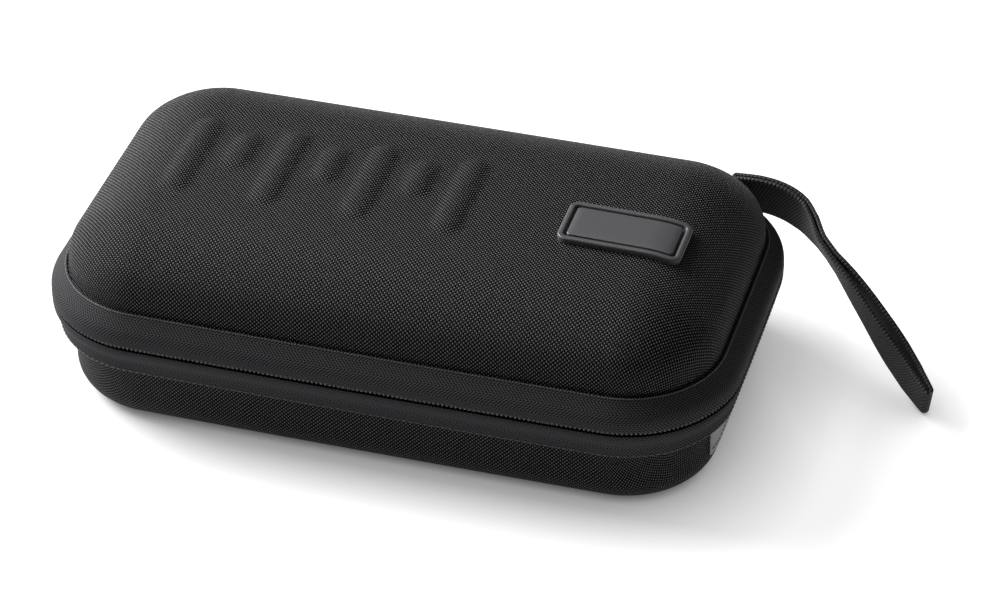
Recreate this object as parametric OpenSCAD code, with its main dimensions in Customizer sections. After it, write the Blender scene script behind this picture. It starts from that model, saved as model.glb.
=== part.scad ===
// Zip case for a microphone: two moulded EVA foam halves under woven nylon, joined by a fabric hinge
// along the back and by a coil zip with one slider round the other three sides.
// Units are millimetres. X runs along the case, Y to the back, Z up.
// The origin is on the floor under the middle of the case's belt.

/* [Case] */
// Length of the case over the zip belt
case_l = 240; // [210:1:320]
// Width of the case over the zip belt
case_w = 136; // [124:1:200]
// Height of the case to the flat of the lid
case_h = 70; // [68:1:80]
// Corner radius of the zip belt, seen from above
corner_r = 38; // [36:1:46]
// Height of the zip line above the floor
zip_z = 36; // [34:0.5:37]

/* [Shells] */
// Thickness of the moulded EVA foam
eva_t = 4.5; // [3:0.1:5.5]
// Thickness of the woven outer cover
cover_t = 0.8; // [0.5:0.1:1.2]
// Thickness of the brushed lining
lining_t = 1; // [0.6:0.1:1.5]
// How far the wall of the base stands back from the belt
base_in = 6.9; // [6:0.1:8]
// Radius of the rounded lower edge of the base
base_edge_r = 10; // [9:0.5:12]
// How far the wall of the lid stands back from the belt
lid_in = 6.7; // [6.2:0.1:8]
// Radius of the lid's shoulder where it leaves the wall
shoulder_r = 14; // [12:0.5:16]
// Angle through which the tight part of the shoulder turns
shoulder_turn = 50; // [45:1:60]

/* [Zip] */
// Thickness of the zip tape
tape_t = 0.9; // [0.6:0.1:1.1]
// Height of the upper tape above the zip line
upper_tape_h = 11.5; // [10.5:0.1:13]
// Height of the lower tape below the zip line
lower_tape_h = 11; // [10:0.1:12]
// How far the lower edge of the lower tape stands back from the belt
lower_tape_in = 2.3; // [1.8:0.1:3]
// Gap between the edges of the two tapes
tape_gap = 1.2; // [1:0.1:1.6]
// Pitch of the teeth in each row
tooth_pitch = 3; // [2.6:0.1:4]
// Width of one tooth along the zip
tooth_w = 0.9; // [0.6:0.05:1]
// How far a tooth reaches past the zip line into the other row
tooth_reach = 0.7; // [0.4:0.05:0.75]
// Thickness of the coil behind its tape
coil_t = 1.5; // [1.2:0.1:1.8]
// Height of the coil's sewn root
coil_h = 1.8; // [1.4:0.1:2]

/* [Slider] */
// Length of the slider along the zip
slider_l = 12; // [10:0.5:13]
// Height of the slider across the zip
slider_h = 9.2; // [9:0.1:10]
// Thickness of the slider's plates
slider_t = 1.2; // [0.9:0.1:1.4]
// Thickness of the post between the slider's plates
post_t = 0.44; // [0.3:0.02:0.5]
// Turn of the parked slider round the back left corner, from the back
slider_turn = 50; // [45:1:60]
// Diameter of the bar that the pull hangs on
bar_d = 1.4; // [1.2:0.1:1.6]
// Length of the pull below its eye
pull_l = 19; // [14:0.5:24]
// Width of the pull
pull_w = 6.5; // [5:0.5:8]
// Thickness of the pull
pull_t = 1.6; // [1.2:0.1:2]

/* [Trim] */
// Length of the moulded badge on the lid
badge_l = 42; // [30:1:50]
// Width of the moulded badge
badge_w = 22; // [16:1:26]
// Height of the badge's rim above the lid
badge_t = 2.2; // [1.5:0.1:3]
// Distance from the middle of the badge to the right end of the belt
badge_end = 46; // [40:1:60]
// Place of the badge across the case, from the middle
badge_y = -3; // [-8:1:8]
// Number of raised ribs on the lid
rib_count = 7; // [3:1:8]
// Distance from rib to rib
rib_step = 16; // [12:0.5:17]
// Length of the longer ribs
rib_l = 58; // [36:1:60]
// How far a rib stands up from the lid
rib_rise = 1.2; // [0.8:0.1:1.6]
// Thickness of the rubber strip on the right end
strip_t = 0.7; // [0.5:0.1:1.2]
// Width of the rubber strip, up from the rounded edge of the base
strip_w = 10.5; // [8:0.5:11]
// How far the rubber strip turns into the corners
strip_turn = 15; // [5:1:45]

/* [Inside] */
// Depth of the foam insert
insert_h = 23; // [20:0.5:25]
// Diameter of the microphone's bed
mic_d = 24; // [20:0.5:28]
// Length of the microphone's bed
mic_l = 186; // [150:1:190]
// Depth of the microphone's bed and of the accessory pockets
pocket_depth = 17; // [12:0.5:18]
// Thickness of the foam pad in the lid
pad_h = 9.5; // [6:0.5:10]

/* [Wrist strap] */
// Width of the webbing
web_w = 14; // [12:0.5:16]
// Thickness of one layer of webbing
web_t = 1.5; // [1.2:0.1:1.8]

/* [Hidden] */
$fn = 96;

// Facets of a quarter turn in the wall profiles
arc_steps = 8;
// Clearance between pieces that move past each other, and of pieces that are laid in
run_gap = 0.35;
lay_gap = 0.3;
// Shift of a mitre at a 45 degree bend, for each millimetre of depth
bend = tan(22.5);
slant = sqrt(2);
// Depth of each layer below the outside of the cover
shell_in = cover_t;
shell_out = cover_t + eva_t;
lining_out = shell_out + lining_t;
binding_out = lining_out + cover_t;

// Lower tape, flange and rim of the base
lower_edge_z = zip_z - lower_tape_h;
flange_in = lower_tape_in + tape_t;
flange_z = lower_edge_z + 1.2;
chamfer_z = flange_z - (base_in - flange_in);
base_rim_z = zip_z - 6.2;
lower_bend_z = zip_z - 3;
base_m = base_in + base_edge_r;

// Upper tape, rim and crown of the lid
tape_straight = 3.2;
upper_edge_z = zip_z + upper_tape_h;
upper_edge_in = lid_in - tape_t * 0.9;
bulge_r = (upper_tape_h - tape_straight - upper_edge_in) / (slant - 1);
lid_line_k = upper_edge_in - upper_edge_z + slant * tape_t;
lid_rim_z = zip_z + 7;
lid_bend_z = lid_in - lid_line_k;
lid_m = corner_r - 0.5;
crown_r = shoulder_r + (lid_m - lid_in - shoulder_r) / cos(shoulder_turn);
shoulder_z = case_h - shoulder_r * sin(shoulder_turn) - crown_r * (1 - sin(shoulder_turn));

// Coil rows, measured from the zip line
core_z = tooth_reach + 0.3;
straight_l = case_l - 2 * corner_r;
straight_w = case_w - 2 * corner_r;
coil_r = corner_r - tape_t - coil_t / 2;
tooth_in = 0.1;

// Slider: flat plates each side of the tapes and rows, which curve between them round the corner.
// The upper tape comes out by lift_out as the lid lifts it from the slider.
lift_out = 0.8;
plate_out = lift_out + run_gap;
plate_in = chord_in(tape_t + coil_t + run_gap, slider_l / 2);
bar_out = plate_out + slider_t + bar_d / 2 + 2 * run_gap + 1;
eye_d = bar_d + 2 * 0.4;
eye_out_d = eye_d + 2;
pull_eye_w = 2.4;
lip_h = 0.6;
lip_z = core_z + coil_h + run_gap;
lip_back = 1;
lower_lean = lower_tape_in * (lip_z + lip_h - (zip_z - lower_bend_z)) / (lower_bend_z - base_rim_z);
lip_in = chord_in(tape_t + max(0, lower_lean) + run_gap, slider_l / 2 - lip_back);

// Foam insert and its cavities
insert_z = lining_out + 1.2;
insert_top = insert_z + insert_h;
pocket_z = insert_top - pocket_depth;
insert_in = base_in + binding_out + lay_gap;
mic_y = -26;
bed_r = 3;
pocket_y = 24;
pocket_w = 42;
pocket_l = 62;
pocket_x = 66;
pocket_r = 8;
windscreen_d = 44;
scoop_d = 34;
// Half way between the finger scoop and the middle pocket
insert_split = (mic_y + scoop_d / 2 + pocket_y - windscreen_d / 2) / 2;

badge_x = case_l / 2 - badge_end;

// Wrist strap: it is sewn to the lid at the back right corner
root_turn = 70;
knuckle_r = web_t + 0.3;
root_out = corner_r + knuckle_r + run_gap;
root_x = case_l / 2 - corner_r + root_out * cos(root_turn);
root_y = case_w / 2 - corner_r + root_out * sin(root_turn);
root_z = zip_z + 9;
// How far the two layers part half way along
loop_open = 1.2;
// Height of the fold that lies on the floor
fold_z = knuckle_r + 0.4;
// Middle of the folded webbing from its root to that fold: from the root along X and Y, and the
// share of the root's height that is left
strap_route = [for (p = [[0, 0, 1], [6, 1.2, 0.98], [12.5, 1.4, 0.945], [19, 0.2, 0.905], [25.5, -2.8, 0.86],
                         [31.5, -7.8, 0.795], [37.2, -13.8, 0.74], [43.7, -21, 0.66], [50.7, -28, 0.57],
                         [56.7, -32.8, 0.465], [62.2, -36.6, 0.36], [70.2, -41, 0.16], [76, -42.6, 0]])
    [root_x + p[0], root_y + p[1], fold_z + (root_z - fold_z) * p[2]]];
// How far the webbing leans over from standing on its edge to lying flat, at each of those points
strap_lean = [0, 2, 5, 8, 12, 18, 28, 45, 62, 75, 83, 90, 90];

// ---------- profiles, drawn as [distance in from the belt, height] ----------

function arc(cn, cz, r, a0, a1, steps = arc_steps) =
    [for (i = [0:steps]) let (a = a0 + (a1 - a0) * i / steps) [cn + r * cos(a), cz + r * sin(a)]];

// Depth below the belt, half way along a chord of that half length, of a flat face whose ends lie
// at a depth inside a corner
function chord_in(depth, half) = corner_r - sqrt(pow(corner_r - depth, 2) - pow(half, 2));

function reversed(pts) = [for (i = [len(pts) - 1:-1:0]) pts[i]];

// Wall of the base at a depth below its cover, from the rim down and in to the floor
function base_line(d) = concat(
    [[flange_in + d, base_rim_z], [flange_in + d, flange_z + bend * d], [base_in + d, chamfer_z + bend * d]],
    arc(base_in + base_edge_r, base_edge_r, base_edge_r - d, 180, 270));

// Wall of the lid at a depth below its cover, from the rim up and in to the crown
function lid_line(d) = concat(
    [[lid_rim_z + lid_line_k + slant * d, lid_rim_z], [lid_in + d, lid_bend_z - bend * d]],
    arc(lid_in + shoulder_r, shoulder_z, shoulder_r - d, 180, 180 - shoulder_turn),
    arc(lid_m, case_h - crown_r, crown_r - d, 180 - shoulder_turn, 90));

// Upper tape from its sewn edge down to the zip line, at a depth below its outside
function upper_tape_line(d) = concat(
    [[upper_edge_in + d / slant, upper_edge_z - d / slant]],
    arc(bulge_r, zip_z + tape_straight, bulge_r - d, 135, 180),
    [[d, zip_z + tape_gap / 2]]);

// Lower tape from its sewn edge up to the zip line, at a depth below its outside
function lower_tape_line(d) =
    [[lower_tape_in + d, lower_edge_z], [lower_tape_in + d, base_rim_z], [d, lower_bend_z],
     [d, zip_z - tape_gap / 2]];

module profile(pts) {
    polygon([for (p = pts) [-p[0], p[1]]]);
}

module band(outer, inner) {
    profile(concat(outer, reversed(inner)));
}

// ---------- sweeps of a profile round the belt ----------

// One straight side: 0 back, 1 left, 2 front, 3 right
module side(q, l = 0, at = 0) {
    full = q % 2 == 0 ? straight_l : straight_w;
    half = q % 2 == 0 ? case_w / 2 : case_l / 2;
    rotate([0, 0, 90 * q])
        translate([at, half, 0])
            rotate([90, 0, 90])
                linear_extrude(height = l > 0 ? l : full, center = true)
                    children();
}

// One corner: 0 back right, 1 back left, 2 front left, 3 front right
module corner(k, start = 0, turn = 90) {
    sx = k == 0 || k == 3 ? 1 : -1;
    sy = k < 2 ? 1 : -1;
    translate([sx * (case_l / 2 - corner_r), sy * (case_w / 2 - corner_r), 0])
        rotate([0, 0, 90 * k + start])
            rotate_extrude(angle = turn)
                translate([corner_r, 0])
                    children();
}

module ring(sides = [0:3], corners = [0:3]) {
    for (q = sides) side(q) children();
    for (k = corners) corner(k) children();
}

// Rounded plate parallel to the floor, set in from the belt
module plate(inset, z, t) {
    translate([0, 0, z])
        rounded_bar(case_l - 2 * inset, case_w - 2 * inset, t, corner_r - inset);
}

module rounded_bar(l, w, h, r) {
    linear_extrude(height = h)
        union() {
            square([l - 2 * r, w], center = true);
            square([l, w - 2 * r], center = true);
            for (x = [-1, 1], y = [-1, 1])
                translate([x * (l / 2 - r), y * (w / 2 - r)])
                    circle(r = r);
        }
}

// ---------- base ----------

module base_layer(d0, d1) {
    ring() band(base_line(d0), base_line(d1));
    plate(base_m, d0, d1 - d0);
}

module base_cover() {
    color("#232325") base_layer(0, shell_in);
}

module base_shell() {
    color("#3a3a3c") base_layer(shell_in, shell_out);
}

module base_lining() {
    color("#2c2c30") base_layer(shell_out, lining_out);
}

// Woven binding over the rim of the base and down its inside
module base_binding() {
    inner = lining_out;
    outer = binding_out;
    top = base_rim_z + cover_t;
    color("#18181a")
        ring()
            profile([[flange_in, base_rim_z], [flange_in + inner, base_rim_z],
                     [flange_in + inner, flange_z + bend * inner], [base_in + inner, chamfer_z + bend * inner],
                     [base_in + outer, chamfer_z + bend * outer], [flange_in + outer, flange_z + bend * outer],
                     [flange_in + outer, top], [flange_in, top]]);
}

// Foam sheet under the cut-outs, with a smaller foot that fits between the rounded lower edges
module insert_floor() {
    color("#1f1f21") {
        plate(base_m, lining_out, insert_z - lining_out);
        plate(insert_in, insert_z, pocket_z - insert_z);
    }
}

// Die-cut foam in front of the split between the two blocks, or behind it
module insert_block(front) {
    intersection() {
        plate(insert_in, pocket_z, pocket_depth);
        translate([-case_l / 2, front ? -case_w + insert_split : insert_split, pocket_z])
            cube([case_l, case_w, pocket_depth]);
    }
}

// Front block, with the microphone's bed and a finger scoop half way along it
module insert_front() {
    color("#2a2a2c")
        difference() {
            insert_block(true);
            translate([0, mic_y, pocket_z - 1]) {
                rounded_bar(mic_l, mic_d, pocket_depth + 2, bed_r);
                cylinder(d = scoop_d, h = pocket_depth + 2);
            }
        }
}

// Back block, with three pockets for accessories
module insert_back() {
    color("#2a2a2c")
        difference() {
            insert_block(false);
            for (side_x = [-1, 1])
                translate([side_x * pocket_x, pocket_y, pocket_z - 1])
                    rounded_bar(pocket_l, pocket_w, pocket_depth + 2, pocket_r);
            translate([0, pocket_y, pocket_z - 1])
                cylinder(d = windscreen_d, h = pocket_depth + 2);
        }
}

// Bare rubber strip on the wall of the right end, turned a little into both corners
module end_strip() {
    reach = corner_r + 2 * strip_t;
    color("#3f3f41")
        difference() {
            ring([3], [0, 3]) strip_profile();
            for (end = [0, 1])
                mirror([0, end, 0])
                    translate([case_l / 2 - corner_r, case_w / 2 - corner_r, 0])
                        rotate([0, 0, strip_turn])
                            cube([reach, reach, zip_z]);
        }
}

module strip_profile() {
    z0 = base_edge_r;
    z1 = base_edge_r + strip_w;
    edge = strip_t / 2;
    profile([[base_in, z0], [base_in, z1], [base_in - edge, z1], [base_in - strip_t, z1 - edge],
             [base_in - strip_t, z0 + edge], [base_in - edge, z0]]);
}

// ---------- lid ----------

module lid_layer(d0, d1) {
    ring() band(lid_line(d0), lid_line(d1));
    plate(lid_m, case_h - d1, d1 - d0);
}

module lid_cover() {
    color("#262628") {
        lid_layer(0, shell_in);
        lid_ribs();
    }
}

// Raised ribs side by side on the left half of the lid, every other one shorter and set forward
module lid_ribs() {
    rib_r = 12;
    first_x = -case_l / 2 + lid_m + 2;
    for (i = [0:rib_count - 1]) {
        l = i % 2 == 0 ? rib_l : rib_l * 0.6;
        y = i % 2 == 0 ? 0 : rib_l * 0.1;
        intersection() {
            translate([first_x + i * rib_step, y, case_h + rib_rise - rib_r])
                rib_body(l - 2 * rib_r, rib_r);
            translate([first_x + i * rib_step - rib_r, y - l / 2, case_h - cover_t / 2])
                cube([2 * rib_r, l, 2 * rib_rise]);
        }
    }
}

module rib_body(l, r) {
    rotate([90, 0, 0])
        cylinder(r = r, h = l, center = true);
    for (end = [-1, 1])
        translate([0, end * l / 2, 0])
            sphere(r = r);
}

module lid_shell() {
    color("#3a3a3c") lid_layer(shell_in, shell_out);
}

module lid_lining() {
    color("#2c2c30") lid_layer(shell_out, lining_out);
}

// Woven binding over the rim of the lid and up its inside
module lid_binding() {
    inner = lining_out;
    outer = binding_out;
    low = lid_rim_z - cover_t;
    first = lid_rim_z + lid_line_k;
    color("#18181a")
        ring()
            profile([[first, lid_rim_z], [first + slant * inner, lid_rim_z],
                     [lid_in + inner, lid_bend_z - bend * inner], [lid_in + inner, lid_bend_z + 3],
                     [lid_in + outer, lid_bend_z + 3], [lid_in + outer, lid_bend_z - bend * outer],
                     [low + lid_line_k + slant * outer, low], [first, low]]);
}

module lid_foam_pad() {
    depth = lining_out + lay_gap;
    bottom = case_h - depth - pad_h;
    color("#2a2a2c") {
        ring()
            intersection() {
                band(lid_line(depth), [[lid_m, lid_rim_z]]);
                translate([-lid_m, bottom])
                    square([lid_m, pad_h]);
            }
        plate(lid_m, bottom, pad_h);
    }
}

// Part of the lid's right half between two heights above its cover
module crown_layer(low, high) {
    side(3) band(lid_line(-high), lid_line(-low));
    plate(lid_m, case_h + low, high - low);
}

module badge_outline(l, w, r) {
    translate([badge_x, badge_y, case_h - badge_l / 4])
        rounded_bar(l, w, badge_l / 2, r);
}

// Moulded frame of the badge, bent to the crown of the lid, with a sunk tray for its panel
module badge_frame() {
    rim = 2.4;
    tray = badge_t - 1;
    color("#5a5a5c")
        difference() {
            intersection() {
                crown_layer(0, badge_t);
                badge_outline(badge_l, badge_w, 3.5);
            }
            intersection() {
                crown_layer(tray, badge_t + 1);
                badge_outline(badge_l - rim, badge_w - rim, 2.5);
            }
        }
}

// Plain panel in the badge's tray; it carries nothing
module badge_panel() {
    groove = 6.4;
    color("#4a4a4c")
        intersection() {
            crown_layer(badge_t - 1, badge_t - 0.2);
            badge_outline(badge_l - groove, badge_w - groove, 1.2);
        }
}

// ---------- zip ----------

zip_sides = [1, 2, 3];

module upper_zip_tape() {
    color("#1d1d1f") ring(zip_sides) band(upper_tape_line(0), upper_tape_line(tape_t));
}

module lower_zip_tape() {
    color("#1d1d1f") ring(zip_sides) band(lower_tape_line(0), lower_tape_line(tape_t));
}

module hinge_strip_upper() {
    color("#29292b") side(0) band(upper_tape_line(0), upper_tape_line(tape_t));
}

module hinge_strip_lower() {
    color("#29292b") side(0) band(lower_tape_line(0), lower_tape_line(tape_t));
}

// Section of a coil's sewn root; dir is 1 for the upper row and -1 for the lower
module core_profile(dir) {
    z0 = zip_z + (dir > 0 ? core_z : -core_z - coil_h);
    translate([-tape_t - coil_t, z0])
        square([coil_t, coil_h]);
}

// Section of a tooth that reaches past the zip line by reach
module tooth_profile(dir, reach) {
    z_tip = zip_z - dir * reach;
    z_root = zip_z + dir * (core_z + 0.3);
    translate([tooth_in - tape_t - coil_t, min(z_tip, z_root)])
        square([coil_t - 2 * tooth_in, abs(z_root - z_tip)]);
}

// Teeth of one row along a straight side; they mesh with the other row's half a pitch on
module side_teeth(q, dir, reach) {
    l = q % 2 == 0 ? straight_l : straight_w;
    count = floor(l / tooth_pitch);
    pitch = l / count;
    shift = dir > 0 ? 0.25 : 0.75;
    for (i = [0:count - 1])
        side(q, tooth_w, -l / 2 + (i + shift) * pitch)
            tooth_profile(dir, reach);
}

// Teeth of one row round a corner
module corner_teeth(k, dir, reach) {
    count = floor(coil_r * PI / 2 / tooth_pitch);
    step = 90 / count;
    turn = tooth_w / coil_r * 180 / PI;
    shift = dir > 0 ? 0.75 : 0.25;
    for (i = [0:count - 1])
        corner(k, (i + shift) * step - turn / 2, turn)
            tooth_profile(dir, reach);
}

// One row of the chain: meshed all round but for the back left corner, where the rows lie parted
// by the slider's post
module coil_row(dir) {
    parted = -post_t / 2 - run_gap;
    ring(zip_sides) core_profile(dir);
    for (q = zip_sides) side_teeth(q, dir, tooth_reach);
    for (k = [0, 2, 3]) corner_teeth(k, dir, tooth_reach);
    corner_teeth(1, dir, parted);
}

// The upper row is left out in the parked slider, so that the lid lifts out of it
module upper_coil() {
    free_l = slider_l + 2 * (run_gap + lift_out);
    color("#111112")
        difference() {
            coil_row(1);
            parked()
                translate([tape_t / 2, -free_l / 2, 0])
                    cube([tape_t + 2 * coil_t, free_l, 2 * lip_z]);
        }
}

module lower_coil() {
    color("#111112") coil_row(-1);
}

// Clips on the two ends of each row, beside the hinge strip
module end_stops(dir) {
    stop_l = 2.4;
    wrap = 0.5;
    over = 0.2;
    z0 = zip_z + (dir > 0 ? core_z : -core_z - coil_h) - over;
    for (end = [-1, 1])
        side(0, stop_l, end * (straight_l / 2 - stop_l / 2 - 0.1))
            translate([-tape_t - coil_t - wrap, z0])
                square([coil_t + wrap, coil_h + 2 * over]);
}

module upper_end_stops() {
    color("#2b2b2d") end_stops(1);
}

module lower_end_stops() {
    color("#2b2b2d") end_stops(-1);
}

// ---------- slider ----------

// Moves what is drawn at the left side of the belt, with x inwards from it, y to the back and z up
// from the zip line, to the slider's place on the back left corner
module parked() {
    translate([corner_r - case_l / 2, case_w / 2 - corner_r, zip_z])
        rotate([0, 0, slider_turn - 90])
            translate([-corner_r, 0, 0])
                children();
}

// Outline of the slider's plates: wide shoulders at the nose and a narrower tail.
// x runs from the tail to the nose along the zip and y up across it.
module plate_outline() {
    nose = slider_l / 2;
    r = 1.5;
    taper = 0.6;
    polygon([[-nose, -slider_h / 2 + taper], [nose - r, -slider_h / 2], [nose, -slider_h / 2 + r],
             [nose, slider_h / 2 - r], [nose - r, slider_h / 2], [-nose, slider_h / 2 - taper]]);
}

module slider_plate(depth) {
    translate([depth, 0, 0])
        rotate([90, 0, 90])
            linear_extrude(height = slider_t)
                plate_outline();
}

// The slider has its nose to the hinge, where the zip ends
module zip_slider() {
    nose = slider_l / 2;
    post_l = 3;
    foot_w = 1.2;
    foot_y = pull_eye_w / 2 + run_gap + foot_w / 2;
    color("#1a1a1c")
        parked() {
            slider_plate(-plate_out - slider_t);
            slider_plate(plate_in);
            // lips on the inner plate, which hold the rows in
            for (up = [-1, 1])
                translate([lip_in, lip_back - nose, up > 0 ? lip_z : -lip_z - lip_h])
                    cube([plate_in - lip_in + slider_t / 2, slider_l - 3 * lip_back, lip_h]);
            // post between the plates
            translate([-plate_out - slider_t / 2, nose - post_l - 0.5, -post_t / 2])
                cube([plate_out + plate_in + slider_t, post_l, post_t]);
            // bridge that the pull hangs on
            for (end = [-1, 1])
                translate([-bar_out, end * foot_y, 0])
                    rotate([90, 0, 0])
                        foot(foot_w);
            translate([-bar_out, 0, 0])
                rotate([90, 0, 0])
                    cylinder(d = bar_d, h = 2 * foot_y, center = true);
        }
}

// Foot of the bridge: a round head on a leg that stands on the outer plate
module foot(w) {
    leg = bar_out - plate_out - slider_t / 2;
    translate([0, 0, -w / 2])
        linear_extrude(height = w)
            union() {
                circle(d = bar_d);
                translate([0, -bar_d / 2])
                    square([leg, bar_d]);
            }
}

// Pull: an eye round the bridge's bar and a tapered tongue that hangs from it
module zip_pull() {
    color("#2e2e30")
        parked()
            translate([-bar_out, 0, 0])
                difference() {
                    union() {
                        rotate([90, 0, 0])
                            cylinder(d = eye_out_d, h = pull_eye_w, center = true);
                        translate([-pull_t / 2, 0, 0])
                            rotate([90, 0, 90])
                                linear_extrude(height = pull_t)
                                    tongue_outline();
                    }
                    rotate([90, 0, 0])
                        cylinder(d = eye_d, h = pull_w + 2, center = true);
                }
}

module tongue_outline() {
    neck = pull_eye_w / 2;
    half = pull_w / 2;
    top = -eye_out_d / 2 - 0.4;
    union() {
        polygon([[-neck, 0], [neck, 0], [neck, top], [half - 1, top - 2], [half, top - pull_l + half],
                 [-half, top - pull_l + half], [-half + 1, top - 2], [-neck, top]]);
        translate([0, top - pull_l + half])
            circle(d = pull_w);
    }
}

// ---------- wrist strap ----------

// Point and direction on the smooth curve through the route, at t from 0 to its last index
function route_end(i) = max(0, min(len(strap_route) - 1, i));

function blend_at(a, b, c, d, u) =
    0.5 * (2 * b + (c - a) * u + (2 * a - 5 * b + 4 * c - d) * u * u + (3 * b - a - 3 * c + d) * u * u * u);

function route_at(t) =
    let (i = min(floor(t), len(strap_route) - 2))
    blend_at(strap_route[route_end(i - 1)], strap_route[i], strap_route[i + 1],
             strap_route[route_end(i + 2)], t - i);

function lean_at(t) =
    let (i = min(floor(t), len(strap_lean) - 2))
    strap_lean[i] + (strap_lean[i + 1] - strap_lean[i]) * (t - i);

function unit(v) = v / norm(v);

function heading_at(t) =
    let (last = len(strap_route) - 1)
    unit(route_at(min(t + 0.1, last)) - route_at(max(t - 0.1, 0)));

// The two layers of webbing lie together at both ends and part a little between them
function half_gap(t) =
    let (last = len(strap_route) - 1)
    knuckle_r - web_t / 2 + loop_open * pow(sin(180 * t / last), 2);

// Ring of four corners of one layer: a turns the layer from one side of the loop to the other.
// The webbing is sewn on upright, so its first ring stands plumb.
function strap_ring(t, a) =
    let (p = route_at(t), heading = heading_at(t),
         along = t > 0 ? heading : unit([heading[0], heading[1], 0]),
         level = unit([along[1], -along[0], 0]), rise = cross(level, along), lean = lean_at(t),
         wide = rise * cos(lean) + level * sin(lean),
         thick = level * cos(lean) - rise * sin(lean),
         out = thick * cos(a) + along * sin(a),
         inner = half_gap(t) - web_t / 2, outer = half_gap(t) + web_t / 2)
    [p + out * inner - wide * web_w / 2, p + out * outer - wide * web_w / 2,
     p + out * outer + wide * web_w / 2, p + out * inner + wide * web_w / 2];

module wrist_strap() {
    last = len(strap_route) - 1;
    stations = last * 2;
    rings = concat(
        [for (i = [0:stations]) strap_ring(last * i / stations, 0)],
        [for (a = [45:45:135]) strap_ring(last, a)],
        [for (i = [stations:-1:0]) strap_ring(last * i / stations, 180)],
        [for (a = [225:45:315]) strap_ring(0, a)]);
    n = len(rings);
    color("#151516")
        polyhedron(
            points = [for (r = rings) for (p = r) p],
            faces = [for (i = [0:n - 1]) for (j = [0:3])
                let (k = (i + 1) % n, m = (j + 1) % 4)
                each [[4 * i + j, 4 * k + j, 4 * k + m], [4 * i + j, 4 * k + m, 4 * i + m]]]);
}

base_shell();
base_cover();
base_lining();
base_binding();
insert_floor();
insert_front();
insert_back();
lower_zip_tape();
lower_coil();
lower_end_stops();
hinge_strip_lower();
end_strip();
lid_shell();
lid_cover();
lid_lining();
lid_binding();
lid_foam_pad();
upper_zip_tape();
upper_coil();
upper_end_stops();
hinge_strip_upper();
badge_frame();
badge_panel();
zip_slider();
zip_pull();
wrist_strap();
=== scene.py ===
import math

import bmesh
import bpy
import numpy as np
from mathutils import Matrix, Vector


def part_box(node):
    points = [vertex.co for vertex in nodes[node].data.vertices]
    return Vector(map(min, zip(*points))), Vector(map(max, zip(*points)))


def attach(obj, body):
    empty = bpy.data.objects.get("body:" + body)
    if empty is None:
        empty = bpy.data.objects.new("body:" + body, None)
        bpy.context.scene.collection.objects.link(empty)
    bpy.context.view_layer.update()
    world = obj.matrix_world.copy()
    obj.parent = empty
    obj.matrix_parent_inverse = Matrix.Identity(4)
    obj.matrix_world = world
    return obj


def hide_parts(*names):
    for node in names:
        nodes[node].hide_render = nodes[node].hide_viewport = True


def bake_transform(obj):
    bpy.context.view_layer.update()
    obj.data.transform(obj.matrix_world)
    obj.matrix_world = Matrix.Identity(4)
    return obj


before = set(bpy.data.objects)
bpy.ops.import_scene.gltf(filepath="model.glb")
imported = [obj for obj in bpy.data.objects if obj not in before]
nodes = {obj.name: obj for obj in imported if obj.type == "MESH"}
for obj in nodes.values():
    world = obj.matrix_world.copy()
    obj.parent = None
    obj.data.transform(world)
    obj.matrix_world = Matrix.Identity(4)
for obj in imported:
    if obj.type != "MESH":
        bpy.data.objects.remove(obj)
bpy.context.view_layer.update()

# ------------------------------------------------------------------ studio
# A long lens in front of the case, a little to its right and well above it, over white paper in an
# open light tent. A wide soft box stands to the left, a little behind, and a weak one hangs overhead.

MM = 0.001
azimuth, elevation, roll = (math.radians(a) for a in (16.49, 36.70, -0.41))
aim = Vector((17.93, 37.66, 0)) * MM
back = Vector((math.sin(azimuth) * math.cos(elevation), -math.cos(azimuth) * math.cos(elevation),
               math.sin(elevation)))
level = Vector((0, 0, 1)).cross(back).normalized()
upright = back.cross(level)
across = level * math.cos(roll) + upright * math.sin(roll)
upward = upright * math.cos(roll) - level * math.sin(roll)
bpy.ops.object.camera_add()
camera = bpy.context.object
camera.data.lens = 139.6
camera.data.sensor_width = 36
camera.data.clip_start, camera.data.clip_end = 0.05, 50
camera.matrix_world = (Matrix.Translation(aim + back * 1377.29 * MM)
                       @ Matrix((across, upward, back)).transposed().to_4x4())
bpy.context.scene.camera = camera
bpy.context.scene.view_settings.view_transform = "Standard"


def linear(code):
    """A colour given as sRGB hex, in the linear values that the shaders take."""
    parts = [int(code[i:i + 2], 16) / 255 for i in (1, 3, 5)]
    return tuple(c / 12.92 if c <= 0.04045 else ((c + 0.055) / 1.055) ** 2.4 for c in parts) + (1,)


def add_node(tree, kind, inputs=None, **settings):
    """Adds a shader node with its settings; an input is a number, a colour or another node's output."""
    made = tree.nodes.new("ShaderNode" + kind)
    for name, value in settings.items():
        setattr(made, name, value)
    for key, value in (inputs or {}).items():
        if isinstance(value, bpy.types.NodeSocket):
            tree.links.new(value, made.inputs[key])
        else:
            made.inputs[key].default_value = value
    return made


def new_material(name, **surface):
    """An empty material with one Principled shader, whose constants are set on its own sockets."""
    made = bpy.data.materials.new(name)
    made.use_nodes = True
    made.node_tree.nodes.clear()
    shader = add_node(made.node_tree, "BsdfPrincipled", {k.replace("_", " "): v for k, v in surface.items()})
    add_node(made.node_tree, "OutputMaterial", {"Surface": shader.outputs[0]})
    return made, made.node_tree, shader


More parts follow.
